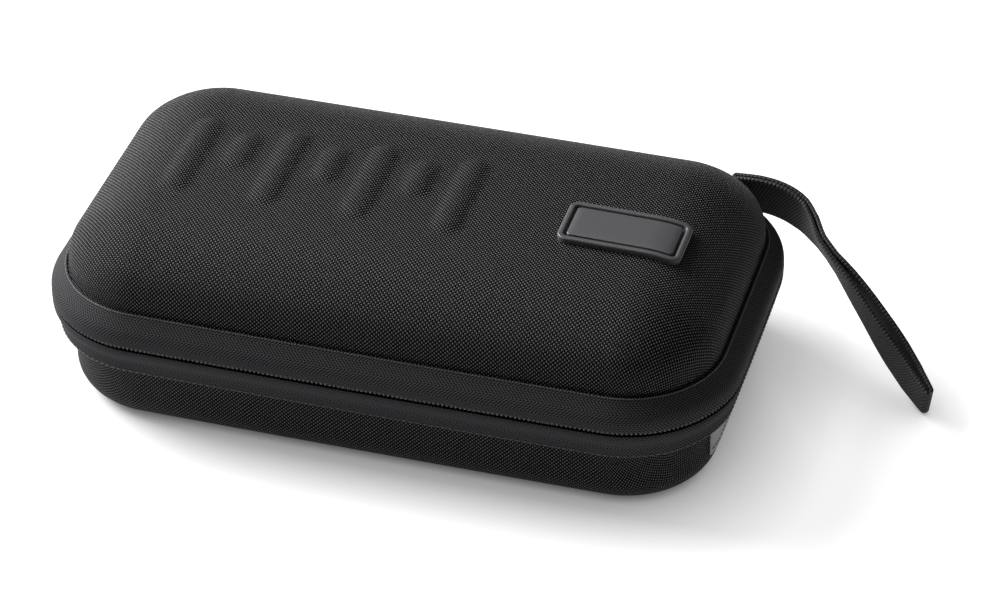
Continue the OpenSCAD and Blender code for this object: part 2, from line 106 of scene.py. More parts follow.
# Matt paper: pale, with a faint cloud of tone. The light that the tent throws on it is painted on as the
# paper's own glow, with a painted contact shadow where something stands close over it, so that it doesn't flatten
# the case too.
paper, tree, shader = new_material("matt white studio paper", Roughness=0.9, Specular_IOR_Level=0.2,
                                   Emission_Color=(1, 1, 1, 1))
openness = add_node(tree, "AmbientOcclusion", {"Distance": 0.04}, samples=12)
# painted contact shadow: the glow fades where something stands close over the paper
painted_tent_glow = add_node(tree, "Math", {0: openness.outputs["AO"], 1: 0.8}, operation="MULTIPLY")
tree.links.new(painted_tent_glow.outputs[0], shader.inputs["Emission Strength"])
fibres = add_node(tree, "TexNoise", {"Vector": add_node(tree, "TexCoord").outputs["Object"],
                                     "Scale": 9.0, "Detail": 4.0})
tone = add_node(tree, "Mix", {"Factor": fibres.outputs["Fac"], "A": linear("#acacae"),
                              "B": linear("#b4b4b6")}, data_type="RGBA")
tree.links.new(tone.outputs["Result"], shader.inputs["Base Color"])

bpy.ops.mesh.primitive_plane_add(size=12, location=(0, 0, -0.0002))
floor = bpy.context.object
floor.name = "studio_paper"
floor.data.transform(floor.matrix_world)
floor.matrix_world = Matrix.Identity(4)
floor.data.materials.append(paper)

world = bpy.data.worlds.new("white walls")
bpy.context.scene.world = world
world.use_nodes = True
world.node_tree.nodes["Background"].inputs["Color"].default_value = (1, 1, 1, 1)
world.node_tree.nodes["Background"].inputs["Strength"].default_value = 0.05


def soft_box(name, spot, target, size, power):
    """A square area light at a spot, turned to its target."""
    bpy.ops.object.light_add(type="AREA", location=spot)
    light = bpy.context.object
    light.name = name
    light.data.shape = "SQUARE"
    light.data.size = size
    light.data.energy = power
    light.rotation_euler = (Vector(target) - Vector(spot)).to_track_quat("-Z", "Y").to_euler()


soft_box("key light", (-1.58, 0.4, 1.08), (-0.02, 0, 0.04), 1.3, 125)
soft_box("overhead light", (0, 0.1, 2.2), (0, 0, 0), 2.4, 12)

# ------------------------------------------------------------------ base
# The lower half: closed-cell EVA foam pressed in a hot mould between a woven nylon cover and a
# brushed lining. Every layer is one sheet drawn over the same mould, so each is laid over the
# case's plan here, from its rim to its middle. The cloth stands a little fuller than the frame.

CASE_L, CASE_W, CORNER_R, ZIP_Z = 240.0, 136.0, 38.0, 36.0
REACH_X, REACH_Y = CASE_L / 2 - CORNER_R, CASE_W / 2 - CORNER_R
SLANT, BEND = math.sqrt(2), math.tan(math.radians(22.5))


def arc(n, z, radius, first, last, steps=12):
    """Points on an arc, as [distance in from the belt, height], angles in degrees."""
    turns = [math.radians(first + (last - first) * i / steps) for i in range(steps + 1)]
    return [[n + radius * math.cos(t), z + radius * math.sin(t)] for t in turns]


def base_line(depth):
    """Wall of the base at a depth below its cover, from the rim down and in along the floor."""
    return ([[3.2 + depth, 29.8], [3.2 + depth, 26.2 + BEND * depth], [6.9 + depth, 22.5 + BEND * depth]]
            + arc(16.9, 10, 10 - depth, 180, 270) + [[68, depth]])


def evenly(line, count):
    """The same line in count equal steps, with each point's length along it."""
    pts = np.array(line, float)
    run = np.concatenate([[0], np.cumsum(np.hypot(*np.diff(pts, axis=0).T))])
    at = np.linspace(0, run[-1], count + 1)
    return [[float(np.interp(s, run, pts[:, 0])), float(np.interp(s, run, pts[:, 1])), float(s)] for s in at]


def bowed(x, y):
    """The moulded front and right end aren't quite straight: they bow out by just under a millimetre."""
    wide = 0.9 * min(2 * y / CASE_W, 0) * max(0, 1 - (2 * x / CASE_L) ** 2)
    long = 0.8 * max(0, 2 * x / CASE_L) * max(0, 1 - (2 * y / CASE_W) ** 2)
    return x + long, y + wide


def select_only(obj):
    """Makes obj the one selected and active object."""
    bpy.ops.object.select_all(action="DESELECT")
    obj.select_set(True)
    bpy.context.view_layer.objects.active = obj


def apply_modifier(obj, kind, **settings):
    """Adds a modifier of this kind, sets it and applies it."""
    select_only(obj)
    made = obj.modifiers.new(kind, kind)
    for name, value in settings.items():
        setattr(made, name, value)
    bpy.ops.object.modifier_apply(modifier=made.name)


def set_threads(obj, places):
    """Gives each vertex its place in the flat cloth, in metres, as a UV map."""
    layer = obj.data.uv_layers.get("threads") or obj.data.uv_layers.new(name="threads")
    loops = np.empty(len(obj.data.loops), np.int32)
    obj.data.loops.foreach_get("vertex_index", loops)
    layer.data.foreach_set("uv", (np.array(places, np.float32)[loops] * MM).ravel())
    for other in [u for u in obj.data.uv_layers if u.name != "threads"]:
        obj.data.uv_layers.remove(other)


def finish_piece(obj, material, slot, *replaced):
    """Smooth shading, its material, and the nodes that it stands for, which it hides; slot is not used."""
    select_only(obj)
    bpy.ops.object.shade_smooth_by_angle(angle=math.radians(40))
    obj.data.materials.clear()
    obj.data.materials.append(material)
    if replaced:
        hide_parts(*replaced)


def moulded_sheet(name, line, thickness, rings=51, half=96, lift=None, upside_down=False):
    """A grid drawn over the case's plan: each ring of the grid lies at one step of the wall's line."""
    bpy.ops.object.select_all(action="DESELECT")
    bpy.ops.mesh.primitive_grid_add(x_subdivisions=2 * half, y_subdivisions=2 * rings, size=2)
    obj = bpy.context.object
    obj.name = name
    steps = evenly(line, rings)
    # length of cloth from the plan's middle part, which lies flat, out to each step
    flat = float(np.interp(CORNER_R, [s[0] for s in steps], [s[2] for s in steps]))
    threads = []
    for v in obj.data.vertices:
        i, j = round((v.co.x + 1) * half), round((v.co.y + 1) * rings)
        k = min(i, 2 * half - i, j, 2 * rings - j)
        n, z, run = steps[k]
        radius = max(CORNER_R - n, 0)
        reach_x, reach_y = CASE_L / 2 - n - radius, CASE_W / 2 - n - radius
        on_end = k in (i, 2 * half - i) and k not in (j, 2 * rings - j)
        share = (j - rings) / max(rings - k, 1) if on_end else (i - half) / max(half - k, 1)
        straight = reach_y if on_end else reach_x
        s = abs(share) * (straight + radius * math.pi / 4)
        turn = max(0, s - straight) / radius if radius > 0 else 0
        a = min(s, straight) + radius * math.sin(turn)
        b = (reach_x if on_end else reach_y) + radius * math.cos(turn)
        along = math.copysign(a, share)
        sign = -1 if (i < half if on_end else j < rings) else 1
        x, y = (sign * b, along) if on_end else (along, sign * b)
        core = (max(-REACH_X, min(REACH_X, x)), max(-REACH_Y, min(REACH_Y, y)))
        out = (x - core[0], y - core[1])
        far = math.hypot(*out)
        if far > 1e-6 and run < flat:
            threads.append((core[0] + out[0] / far * (flat - run), core[1] + out[1] / far * (flat - run)))
        else:
            threads.append((x, y))
        x, y = bowed(x, y)
        v.co = Vector((x, y, z + (lift(x, y) if lift else 0))) * MM
    set_threads(obj, threads)
    if upside_down:
        obj.data.flip_normals()
    apply_modifier(obj, "SOLIDIFY", thickness=thickness * MM, offset=-1, use_even_offset=True,
                   use_quality_normals=True)
    return obj


def plain_weave(tree, pitch):
    """Height and lightness of a plain weave with this thread pitch in mm, on the cloth's own UV map.

    Warp and weft pass over each other by turns; the one on top is a rounded, slightly swollen float.
    The lightness is painted light: painted shade in the crossings, and a painted sheen on one set of floats.
    """
    place = add_node(tree, "UVMap", uv_map="threads").outputs["UV"]
    wander = add_node(tree, "TexNoise", {"Vector": place, "Scale": 140.0, "Detail": 2.0})
    shifted = add_node(tree, "VectorMath", {0: wander.outputs["Color"], 1: (0.5, 0.5, 0.5)}, operation="SUBTRACT")
    shifted = add_node(tree, "VectorMath", {0: shifted.outputs[0], "Scale": 0.35 * pitch * MM}, operation="SCALE")
    place = add_node(tree, "VectorMath", {0: place, 1: shifted.outputs[0]}).outputs[0]
    cells = add_node(tree, "VectorMath", {0: place, "Scale": 1 / (pitch * MM)}, operation="SCALE").outputs[0]
    inside = add_node(tree, "SeparateXYZ", {0: add_node(tree, "VectorMath", {0: cells},
                                                        operation="FRACTION").outputs[0]})
    index = add_node(tree, "SeparateXYZ", {0: add_node(tree, "VectorMath", {0: cells},
                                                       operation="FLOOR").outputs[0]})
    count = add_node(tree, "Math", {0: index.outputs[0], 1: index.outputs[1]}, operation="ADD")
    parity = add_node(tree, "Math", {0: count.outputs[0], 1: 1.0}, operation="PINGPONG")
    humps = []
    for side in (0, 1):
        turn = add_node(tree, "Math", {0: inside.outputs[side], 1: math.pi}, operation="MULTIPLY")
        humps.append(add_node(tree, "Math", {0: turn.outputs[0]}, operation="SINE").outputs[0])
    floats = []
    for over, along in (humps, humps[::-1]):
        rounded = add_node(tree, "Math", {0: over, 1: 0.7}, operation="POWER").outputs[0]
        swollen = add_node(tree, "Math", {0: along, 1: 0.55, 2: 0.45}, operation="MULTIPLY_ADD").outputs[0]
        floats.append(add_node(tree, "Math", {0: rounded, 1: swollen}, operation="MULTIPLY").outputs[0])
    height = add_node(tree, "Mix", {"Factor": parity.outputs[0], "A": floats[0], "B": floats[1]},
                      data_type="FLOAT").outputs["Result"]
    # painted sheen: the floats of one set of threads are painted much lighter than the other's, and painted shade
    # darkens the crossings
    painted_float_sheen = add_node(tree, "Math", {0: parity.outputs[0], 1: -0.85, 2: 1.0}, operation="MULTIPLY_ADD")
    light = add_node(tree, "Math", {0: height, 1: painted_float_sheen.outputs[0]}, operation="MULTIPLY").outputs[0]
    return height, light


# Solution-dyed nylon in a coarse plain weave, thread pitch 0.74 mm. Its colour holds painted light:
# a painted sheen makes the warp floats rows of light dots, and painted shade makes the crossings
# between them nearly black.
woven_nylon, tree, shader = new_material("woven black nylon", Roughness=0.55, Specular_IOR_Level=0.05)
height, light = plain_weave(tree, 0.74)
painted_weave_light = add_node(tree, "ValToRGB", {"Fac": light})
painted_weave_light.color_ramp.elements[0].position, painted_weave_light.color_ramp.elements[0].color = 0.42, linear("#010101")
painted_weave_light.color_ramp.elements[1].position, painted_weave_light.color_ramp.elements[1].color = 0.95, linear("#5f5f61")
tree.links.new(painted_weave_light.outputs["Color"], shader.inputs["Base Color"])
bump = add_node(tree, "Bump", {"Height": height, "Strength": 0.8, "Distance": 0.25 * MM})
tree.links.new(bump.outputs[0], shader.inputs["Normal"])

base_cover = moulded_sheet("base_cover_cloth", base_line(0), 0.8, upside_down=True)
finish_piece(base_cover, woven_nylon, "woven_nylon", "base_cover")
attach(base_cover, "base")

# Closed-cell EVA foam: matt, with a fine open pore where it is cut at the rims
eva_foam, tree, shader = new_material("pressed EVA foam", Roughness=0.85, Specular_IOR_Level=0.3)
spot = add_node(tree, "TexCoord").outputs["Object"]
pores = add_node(tree, "TexVoronoi", {"Vector": spot, "Scale": 1800.0})
tone = add_node(tree, "Mix", {"Factor": pores.outputs["Distance"], "A": linear("#1c1c1e"),
                              "B": linear("#2a2a2c")}, data_type="RGBA")
tree.links.new(tone.outputs["Result"], shader.inputs["Base Color"])
bump = add_node(tree, "Bump", {"Height": pores.outputs["Distance"], "Strength": 0.3, "Distance": 0.15 * MM})
tree.links.new(bump.outputs[0], shader.inputs["Normal"])

base_foam = moulded_sheet("base_foam_wall", base_line(0.8), 4.5, rings=26, half=48, upside_down=True)
finish_piece(base_foam, eva_foam, "eva_foam", "base_shell")
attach(base_foam, "base")

# Brushed polyester tricot: a short soft nap that catches light at grazing angles
tricot, tree, shader = new_material("brushed tricot lining", Roughness=0.95, Specular_IOR_Level=0.15,
                                    Sheen_Weight=0.15, Sheen_Roughness=0.4)
place = add_node(tree, "UVMap", uv_map="threads").outputs["UV"]
nap = add_node(tree, "TexNoise", {"Vector": place, "Scale": 1400.0, "Detail": 3.0})
brush = add_node(tree, "TexNoise", {"Vector": place, "Scale": 45.0, "Detail": 2.0})
mixed = add_node(tree, "Math", {0: nap.outputs["Fac"], 1: brush.outputs["Fac"]}, operation="MULTIPLY")
tone = add_node(tree, "Mix", {"Factor": mixed.outputs[0], "A": linear("#1b1b1e"), "B": linear("#3a3a3f")},
                data_type="RGBA")
tree.links.new(tone.outputs["Result"], shader.inputs["Base Color"])
bump = add_node(tree, "Bump", {"Height": nap.outputs["Fac"], "Strength": 0.5, "Distance": 0.2 * MM})
tree.links.new(bump.outputs[0], shader.inputs["Normal"])

base_lining = moulded_sheet("base_lining_cloth", base_line(5.3), 1.0, rings=26, half=48, upside_down=True)
finish_piece(base_lining, tricot, "lining", "base_lining")
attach(base_lining, "base")

# ------------------------------------------------------------------ lid
# The upper half is pressed like the base, with a crowned top. Plain rounded ribs are pressed into
# its left part from below, so the cloth runs over them without a seam.


def lid_line(depth):
    """Wall of the lid at a depth below its cover, from the rim up and in over the crown."""
    return ([[2.663 + SLANT * depth, 43], [6.7 + depth, 47.037 - BEND * depth]]
            + arc(20.7, 49.89, 14 - depth, 180, 130) + arc(37.5, 29.86, 40.14 - depth, 130, 90)[1:]
            + [[68, 70 - depth]])


def crown(x, y):
    """How far the middle of the lid stands above its frame, in mm."""
    return 1.4 * max(0, 1 - (x / 110) ** 2) * max(0, 1 - (y / 58) ** 2)


RIB_FIRST_X, RIB_PITCH, RIB_SPANS = -80.5, 16, ((0, 17), (5.8, 5.4))


def ribbed_crown(x, y):
    """The crown with its seven pressed ribs, every other one shorter and set back."""
    rise = 0
    for i in range(7):
        middle, half = RIB_SPANS[i % 2]
        reach = max(0, abs(y - middle) - half)
        d2 = (x - RIB_FIRST_X - RIB_PITCH * i) ** 2 + reach ** 2
        if d2 < 100:
            h = math.sqrt(max(0, 144 - d2)) - 10.8
            rise = max(rise, 0.5 * (h + math.sqrt(h * h + 0.08)) if h > -2 else 0)
    return crown(x, y) + rise


lid_cover = moulded_sheet("lid_cover_cloth", lid_line(0), 0.8, lift=ribbed_crown)
finish_piece(lid_cover, woven_nylon, "woven_nylon", "lid_cover")
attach(lid_cover, "lid")

lid_foam = moulded_sheet("lid_foam_wall", lid_line(0.8), 4.5, rings=26, half=48, lift=crown)
finish_piece(lid_foam, eva_foam, "eva_foam", "lid_shell")
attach(lid_foam, "lid")

lid_lining = moulded_sheet("lid_lining_cloth", lid_line(5.3), 1.0, rings=26, half=48, lift=crown)
finish_piece(lid_lining, tricot, "lining", "lid_lining")
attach(lid_lining, "lid")

# ------------------------------------------------------------------ zip tapes
# Woven polyester tape with a herringbone face, sewn to each half and steamed to bulge over the
# belt. Each is one flat strip, laid round the case from one end of the hinge to the other.

QUARTER = CORNER_R * math.pi / 2
BACK_L, END_L = 2 * REACH_X, 2 * REACH_Y
BELT = [("arc", (-REACH_X, REACH_Y), 90), ("run", (-CASE_L / 2, REACH_Y), (0, -1), END_L),
        ("arc", (-REACH_X, -REACH_Y), 180), ("run", (-REACH_X, -CASE_W / 2), (1, 0), BACK_L),
        ("arc", (REACH_X, -REACH_Y), 270), ("run", (CASE_L / 2, -REACH_Y), (0, 1), END_L),
        ("arc", (REACH_X, REACH_Y), 0), ("run", (REACH_X, CASE_W / 2), (-1, 0), BACK_L)]
ZIP_L = 4 * QUARTER + 2 * END_L + BACK_L
RING_L = ZIP_L + BACK_L


def belt_at(s):
    """Point on the belt and the way out from it, s mm round from the hinge's left end by the front."""
    s %= RING_L
    for part in BELT:
        length = QUARTER if part[0] == "arc" else part[3]
        if s <= length + 1e-9:
            break
        s -= length
    if part[0] == "arc":
        a = math.radians(part[2]) + s / CORNER_R
        out = (math.cos(a), math.sin(a))
        return (part[1][0] + CORNER_R * out[0], part[1][1] + CORNER_R * out[1]), out
    way = part[2]
    return (part[1][0] + way[0] * s, part[1][1] + way[1] * s), (way[1], -way[0])


def laid_strip(name, line, thickness, start=0.0, length=ZIP_L, step=2.0, offset=-1, lap=False):
    """A flat strip laid round the belt: line gives its section from the lower edge to the upper one."""
    bpy.ops.object.select_all(action="DESELECT")
    cells = round(length / step)
    rows = len(line) - 1
    bpy.ops.mesh.primitive_grid_add(x_subdivisions=cells, y_subdivisions=rows, size=2)
    obj = bpy.context.object
    obj.name = name
    run = np.concatenate([[0], np.cumsum(np.hypot(*np.diff(np.array(line, float), axis=0).T))])
    threads = []
    for v in obj.data.vertices:
        i, j = round((v.co.x + 1) / 2 * cells), round((v.co.y + 1) / 2 * rows)
        s = start + length * i / cells
        (px, py), out = belt_at(s if not (lap and i == cells) else start)
        n, z = line[j]
        threads.append((s, float(run[j])))
        x, y = bowed(px - out[0] * n, py - out[1] * n)
        v.co = Vector((x, y, z)) * MM
    set_threads(obj, threads)
    if lap:
        select_only(obj)
        bpy.ops.object.mode_set(mode="EDIT")
        bpy.ops.mesh.select_all(action="SELECT")
        bpy.ops.mesh.remove_doubles(threshold=0.01 * MM)
        bpy.ops.object.mode_set(mode="OBJECT")
    apply_modifier(obj, "SOLIDIFY", thickness=thickness * MM, offset=offset, use_even_offset=True,
                   use_quality_normals=True)
    return obj


def rounded_edges(obj, width, segments=2, angle=50):
    """Rounds the strip's cut edges."""
    apply_modifier(obj, "BEVEL", width=width * MM, segments=segments, limit_method="ANGLE",
                   angle_limit=math.radians(angle), use_clamp_overlap=True)


def ripple(tree, value, pitch):
    """A sine of this pitch, from -1 to 1, over a distance given in the same unit as the pitch."""
    turns = add_node(tree, "Math", {0: value, 1: math.tau / pitch}, operation="MULTIPLY")
    return add_node(tree, "Math", {0: turns.outputs[0]}, operation="SINE").outputs[0]


def threads_mm(tree):
    """A place in the flat cloth: the raw UV, and its distances along and across in mm."""
    place = add_node(tree, "UVMap", uv_map="threads").outputs["UV"]
    scaled = add_node(tree, "VectorMath", {0: place, "Scale": 1000.0}, operation="SCALE")
    return place, add_node(tree, "SeparateXYZ", {0: scaled.outputs[0]}).outputs


def herringbone(tree, pitch, band):
    """Height of a herringbone twill: slanted rows of small pits between the threads, that turn back at every band.

    They are drawn a little coarser than on real tape, so that they still show from a distance.
    """
    place, mm = threads_mm(tree)
    fold = add_node(tree, "Math", {0: mm[1], 1: band}, operation="PINGPONG")
    slope = add_node(tree, "Math", {0: fold.outputs[0], 1: mm[0]}, operation="ADD")
    broken = add_node(tree, "Math", {0: ripple(tree, mm[1], 0.8), 1: 0.55}, operation="MULTIPLY")
    pits = add_node(tree, "Math", {0: ripple(tree, slope.outputs[0], pitch), 1: broken.outputs[0]}, operation="ADD")
    fuzz = add_node(tree, "TexNoise", {"Vector": place, "Scale": 1500.0, "Detail": 2.0})
    both = add_node(tree, "Math", {0: fuzz.outputs["Fac"], 1: 0.8, 2: pits.outputs[0]}, operation="MULTIPLY_ADD")
    return add_node(tree, "MapRange", {"Value": both.outputs[0], "From Min": -0.9, "From Max": 1.5}).outputs[0]


# Spun polyester: matt charcoal, with painted shade that darkens its pits, since the colour follows the height
zip_tape, tree, shader = new_material("herringbone polyester tape", Roughness=0.7, Specular_IOR_Level=0.05)
height = herringbone(tree, 1.25, 3.6)
tone = add_node(tree, "Mix", {"Factor": height, "A": linear("#020202"), "B": linear("#3e3e40")},
                data_type="RGBA")
tree.links.new(tone.outputs["Result"], shader.inputs["Base Color"])
bump = add_node(tree, "Bump", {"Height": height, "Strength": 0.6, "Distance": 0.12 * MM})
tree.links.new(bump.outputs[0], shader.inputs["Normal"])

TAPE_T = 0.9
bulge = [[0, 38]] + arc(5.82, 39.2, 5.82, 180, 139.5, 9) + [[4.1158, 45.726], [5.0, 46.61], [5.7, 47.3]]
upper_line = [[0.25, 36.55], [0.02, 36.9]] + bulge
upper_tape = laid_strip("upper_zip_tape_cloth", upper_line, TAPE_T)
rounded_edges(upper_tape, 0.3)
finish_piece(upper_tape, zip_tape, "zip_tape", "upper_zip_tape")
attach(upper_tape, "lid")

lower_line = [[2.3, 25], [2.15, 26.5], [2.1, 28], [2.0, 29.4], [1.4, 30.8], [0.6, 32.1], [0.12, 33.3],
              [0, 34.3], [0.02, 35.1], [0.25, 35.45]]
lower_tape = laid_strip("lower_zip_tape_cloth", lower_line, TAPE_T)
rounded_edges(lower_tape, 0.3)
finish_piece(lower_tape, zip_tape, "zip_tape", "lower_zip_tape")
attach(lower_tape, "base")

# ------------------------------------------------------------------ hinge strip
# One width of the cover's woven nylon, sewn to both halves along the back, where the zip leaves off.
# It is the lid's only hinge.

hinge_line = lower_line[:-2] + [[0, 36]] + bulge
hinge_strip = laid_strip("hinge_strip_cloth", hinge_line, TAPE_T, start=ZIP_L, length=BACK_L)
rounded_edges(hinge_strip, 0.3)
finish_piece(hinge_strip, woven_nylon, "hinge_fabric", "hinge_strip_lower", "hinge_strip_upper")
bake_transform(hinge_strip)

# ------------------------------------------------------------------ bindings
# Grosgrain ribbon folded over the raw rims of both halves and sewn through, so that no cut foam
# shows when the case is open.

# Fine cross ribs, 0.6 mm apart, with a painted sheen along their crests and painted shade between them
grosgrain, tree, shader = new_material("black grosgrain ribbon", Roughness=0.55, Specular_IOR_Level=0.2)
mm = threads_mm(tree)[1]
ribs = add_node(tree, "Math", {0: ripple(tree, mm[0], 0.6), 1: 0.5, 2: 0.5}, operation="MULTIPLY_ADD")
tone = add_node(tree, "Mix", {"Factor": ribs.outputs[0], "A": linear("#090909"), "B": linear("#1e1e20")},
                data_type="RGBA")
tree.links.new(tone.outputs["Result"], shader.inputs["Base Color"])
bump = add_node(tree, "Bump", {"Height": ribs.outputs[0], "Strength": 0.6, "Distance": 0.15 * MM})
tree.links.new(bump.outputs[0], shader.inputs["Normal"])

for half, line in (("base", [[3.25, 30.6], [9.9, 30.6], [10.3, 30.2], [10.3, 29.14], [14.0, 25.44]]),
                   ("lid", [[13.8, 50.0], [13.8, 44.1], [11.9, 42.2], [2.7, 42.2]])):
    ribbon = laid_strip(half + "_binding_ribbon", line, 0.8, length=RING_L, lap=True)
    rounded_edges(ribbon, 0.25)
    finish_piece(ribbon, grosgrain, "binding", half + "_binding")
    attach(ribbon, half)

# ------------------------------------------------------------------ zip coils
# Each row is one thick nylon filament wound into a flattened coil and sewn behind its tape. The two
# rows mesh half a turn apart, and show as fine ticks in the slit between the tapes. Round the back
# left corner, where the slider runs, they lie parted.

COIL_PITCH = ZIP_L / 360
WIRE_R = 0.27
SLIDER_AT = 50 / 90 * QUARTER


def coil_run(name, direction, first, last):
    """A run of one row between two turns counted from the zip's end; direction is 1 up and -1 down."""
    steps = (last - first) * 10
    bpy.ops.object.select_all(action="DESELECT")
    bpy.ops.mesh.primitive_grid_add(x_subdivisions=steps, y_subdivisions=5, size=2)
    obj = bpy.context.object
    obj.name = name
    middles, alongs = [], []
    for i in range(steps + 1):
        s = (first + i / 10) * COIL_PITCH
        parted = min(1, max(0, (QUARTER + 2 - s) / 6))
        turn = math.tau * i / 10 + (0 if direction > 0 else math.pi)
        (px, py), out = belt_at(s)
        n = 1.62 + 0.5 * math.cos(turn)
        x, y = bowed(px - out[0] * n, py - out[1] * n)
        reach = 1.05 + 0.65 * parted + (1.48 - 0.62 * parted) * math.sin(turn)
        middles.append(Vector((x, y, ZIP_Z + direction * reach)))
        alongs.append(Vector((-out[1], out[0], 0)))
    for v in obj.data.vertices:
        i, j = round((v.co.x + 1) / 2 * steps), round((v.co.y + 1) / 2 * 5)
        way = (middles[min(i + 1, steps)] - middles[max(i - 1, 0)]).normalized()
        side = way.cross(alongs[i]).normalized()
        a = -math.tau * j / 5
        wire = 0 if i in (0, steps) else WIRE_R
        v.co = (middles[i] + wire * (side * math.cos(a) + way.cross(side) * math.sin(a))) * MM
    select_only(obj)
    bpy.ops.object.mode_set(mode="EDIT")
    bpy.ops.mesh.select_all(action="SELECT")
    bpy.ops.mesh.remove_doubles(threshold=0.01 * MM)
    bpy.ops.object.mode_set(mode="OBJECT")
    return obj


def join_all(pieces, name):
    """Joins the pieces into one object of this name."""
    bpy.ops.object.select_all(action="DESELECT")
    for piece in pieces:
        piece.select_set(True)
    bpy.context.view_layer.objects.active = pieces[0]
    bpy.ops.object.join()
    pieces[0].name = name
    return pieces[0]


# Drawn nylon filament: smooth and glossy, with slight waves from the heat setting
filament, tree, shader = new_material("black nylon filament", Roughness=0.28, Specular_IOR_Level=0.6)
waves = add_node(tree, "TexNoise", {"Vector": add_node(tree, "TexCoord").outputs["Object"], "Scale": 900.0})
tone = add_node(tree, "Mix", {"Factor": waves.outputs["Fac"], "A": linear("#0c0c0c"), "B": linear("#1e1e1e")},
                data_type="RGBA")
tree.links.new(tone.outputs["Result"], shader.inputs["Base Color"])
bump = add_node(tree, "Bump", {"Height": waves.outputs["Fac"], "Strength": 0.2, "Distance": 0.05 * MM})
tree.links.new(bump.outputs[0], shader.inputs["Normal"])

# the upper row is left out in the parked slider
gap = [math.floor((SLIDER_AT - 7.2) / COIL_PITCH), math.ceil((SLIDER_AT + 7.2) / COIL_PITCH)]
upper_row = join_all([coil_run("upper_start", 1, 1, gap[0]), coil_run("upper_rest", 1, gap[1], 359)],
                     "upper_coil_row")
finish_piece(upper_row, filament, "zip_coil", "upper_coil")
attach(upper_row, "lid")
lower_row = coil_run("lower_coil_row", -1, 1, 359)
finish_piece(lower_row, filament, "zip_coil", "lower_coil")
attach(lower_row, "base")

# ------------------------------------------------------------------ zip metal
# Die-cast zinc under black lacquer: a slider with its bridge, the pull that hangs from it, and the
# clips pinched over the ends of the rows.


def copied_node(name, node):
    """A piece with the shape of a CAD node, its loose triangles merged into one skin."""
    obj = bpy.data.objects.new(name, nodes[node].data.copy())
    bpy.context.scene.collection.objects.link(obj)
    select_only(obj)
    bpy.ops.object.mode_set(mode="EDIT")
    bpy.ops.mesh.select_all(action="SELECT")
    bpy.ops.mesh.remove_doubles(threshold=0.001 * MM)
    bpy.ops.mesh.dissolve_limited(angle_limit=math.radians(1))
    bpy.ops.object.mode_set(mode="OBJECT")
    return obj


# Satin lacquer over cast zinc: even black, a soft highlight, a trace of the casting's ripple
lacquer, tree, shader = new_material("black lacquered zinc", Metallic=0.0, Roughness=0.32,
                                     Specular_IOR_Level=0.55, Coat_Weight=0.3, Coat_Roughness=0.2)
cast = add_node(tree, "TexNoise", {"Vector": add_node(tree, "TexCoord").outputs["Object"], "Scale": 420.0,
                                   "Detail": 3.0})
tone = add_node(tree, "Mix", {"Factor": cast.outputs["Fac"], "A": linear("#0f0f10"), "B": linear("#262628")},
                data_type="RGBA")
tree.links.new(tone.outputs["Result"], shader.inputs["Base Color"])
bump = add_node(tree, "Bump", {"Height": cast.outputs["Fac"], "Strength": 0.25, "Distance": 0.08 * MM})
tree.links.new(bump.outputs[0], shader.inputs["Normal"])

for name, node, body, round_off in (("zip_slider_body", "zip_slider", "slider", 0.28),
                                    ("zip_pull_tab", "zip_pull", "pull", 0.35),
                                    ("upper_end_clips", "upper_end_stops", "lid", 0.2),
                                    ("lower_end_clips", "lower_end_stops", "base", 0.2)):
    piece = copied_node(name, node)
    if name == "zip_pull_tab":
        # a shallow pan is pressed into both faces of the tab
        select_only(piece)
        bpy.ops.object.mode_set(mode="EDIT")
        bpy.ops.mesh.select_all(action="DESELECT")
        shape = bmesh.from_edit_mesh(piece.data)
        for face in sorted(shape.faces, key=lambda f: f.calc_area())[-2:]:
            face.select = True
        bmesh.update_edit_mesh(piece.data)
        bpy.ops.mesh.inset(thickness=1.1 * MM, depth=0, use_individual=True)
        bpy.ops.mesh.inset(thickness=0.3 * MM, depth=-0.3 * MM, use_individual=True)
        bpy.ops.object.mode_set(mode="OBJECT")
    rounded_edges(piece, round_off, segments=3, angle=30)
    finish_piece(piece, lacquer, "zip_metal", node)
    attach(piece, body)

# ------------------------------------------------------------------ end strip
# A bare strip of grey rubber, glued and stitched to the wall of the base round the right end.

# Moulded rubber: satin, smooth, with a cloudy bloom
grey_rubber, tree, shader = new_material("grey moulded rubber", Roughness=0.5, Specular_IOR_Level=0.4)
spot = add_node(tree, "TexCoord").outputs["Object"]
bloom = add_node(tree, "TexNoise", {"Vector": spot, "Scale": 120.0, "Detail": 4.0})
tone = add_node(tree, "Mix", {"Factor": bloom.outputs["Fac"], "A": linear("#7c7c7e"), "B": linear("#8c8c8e")},
                data_type="RGBA")
tree.links.new(tone.outputs["Result"], shader.inputs["Base Color"])
grain = add_node(tree, "TexNoise", {"Vector": spot, "Scale": 3500.0, "Detail": 2.0})
bump = add_node(tree, "Bump", {"Height": grain.outputs["Fac"], "Strength": 0.2, "Distance": 0.05 * MM})
tree.links.new(bump.outputs[0], shader.inputs["Normal"])

STRIP_START = 2 * QUARTER + END_L + BACK_L + QUARTER * 75 / 90
STRIP_LENGTH = END_L + QUARTER * 30 / 90
end_strip = laid_strip("end_strip_rubber", [[6.2, 10.2], [6.2, 13.6], [6.2, 17.0], [6.2, 20.4]], 0.7,
                       start=STRIP_START, length=STRIP_LENGTH)
rounded_edges(end_strip, 0.3, segments=3)
finish_piece(end_strip, grey_rubber, "grey_rubber", "end_strip")
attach(end_strip, "base")

# ------------------------------------------------------------------ stitching
# Bonded polyester thread, a shade lighter than the cloth: an overlocked upper edge and a beaded
# lower edge on the upper tape, and lock stitches along the lower tape and the rubber strip. One
# stitch is modelled and copied.

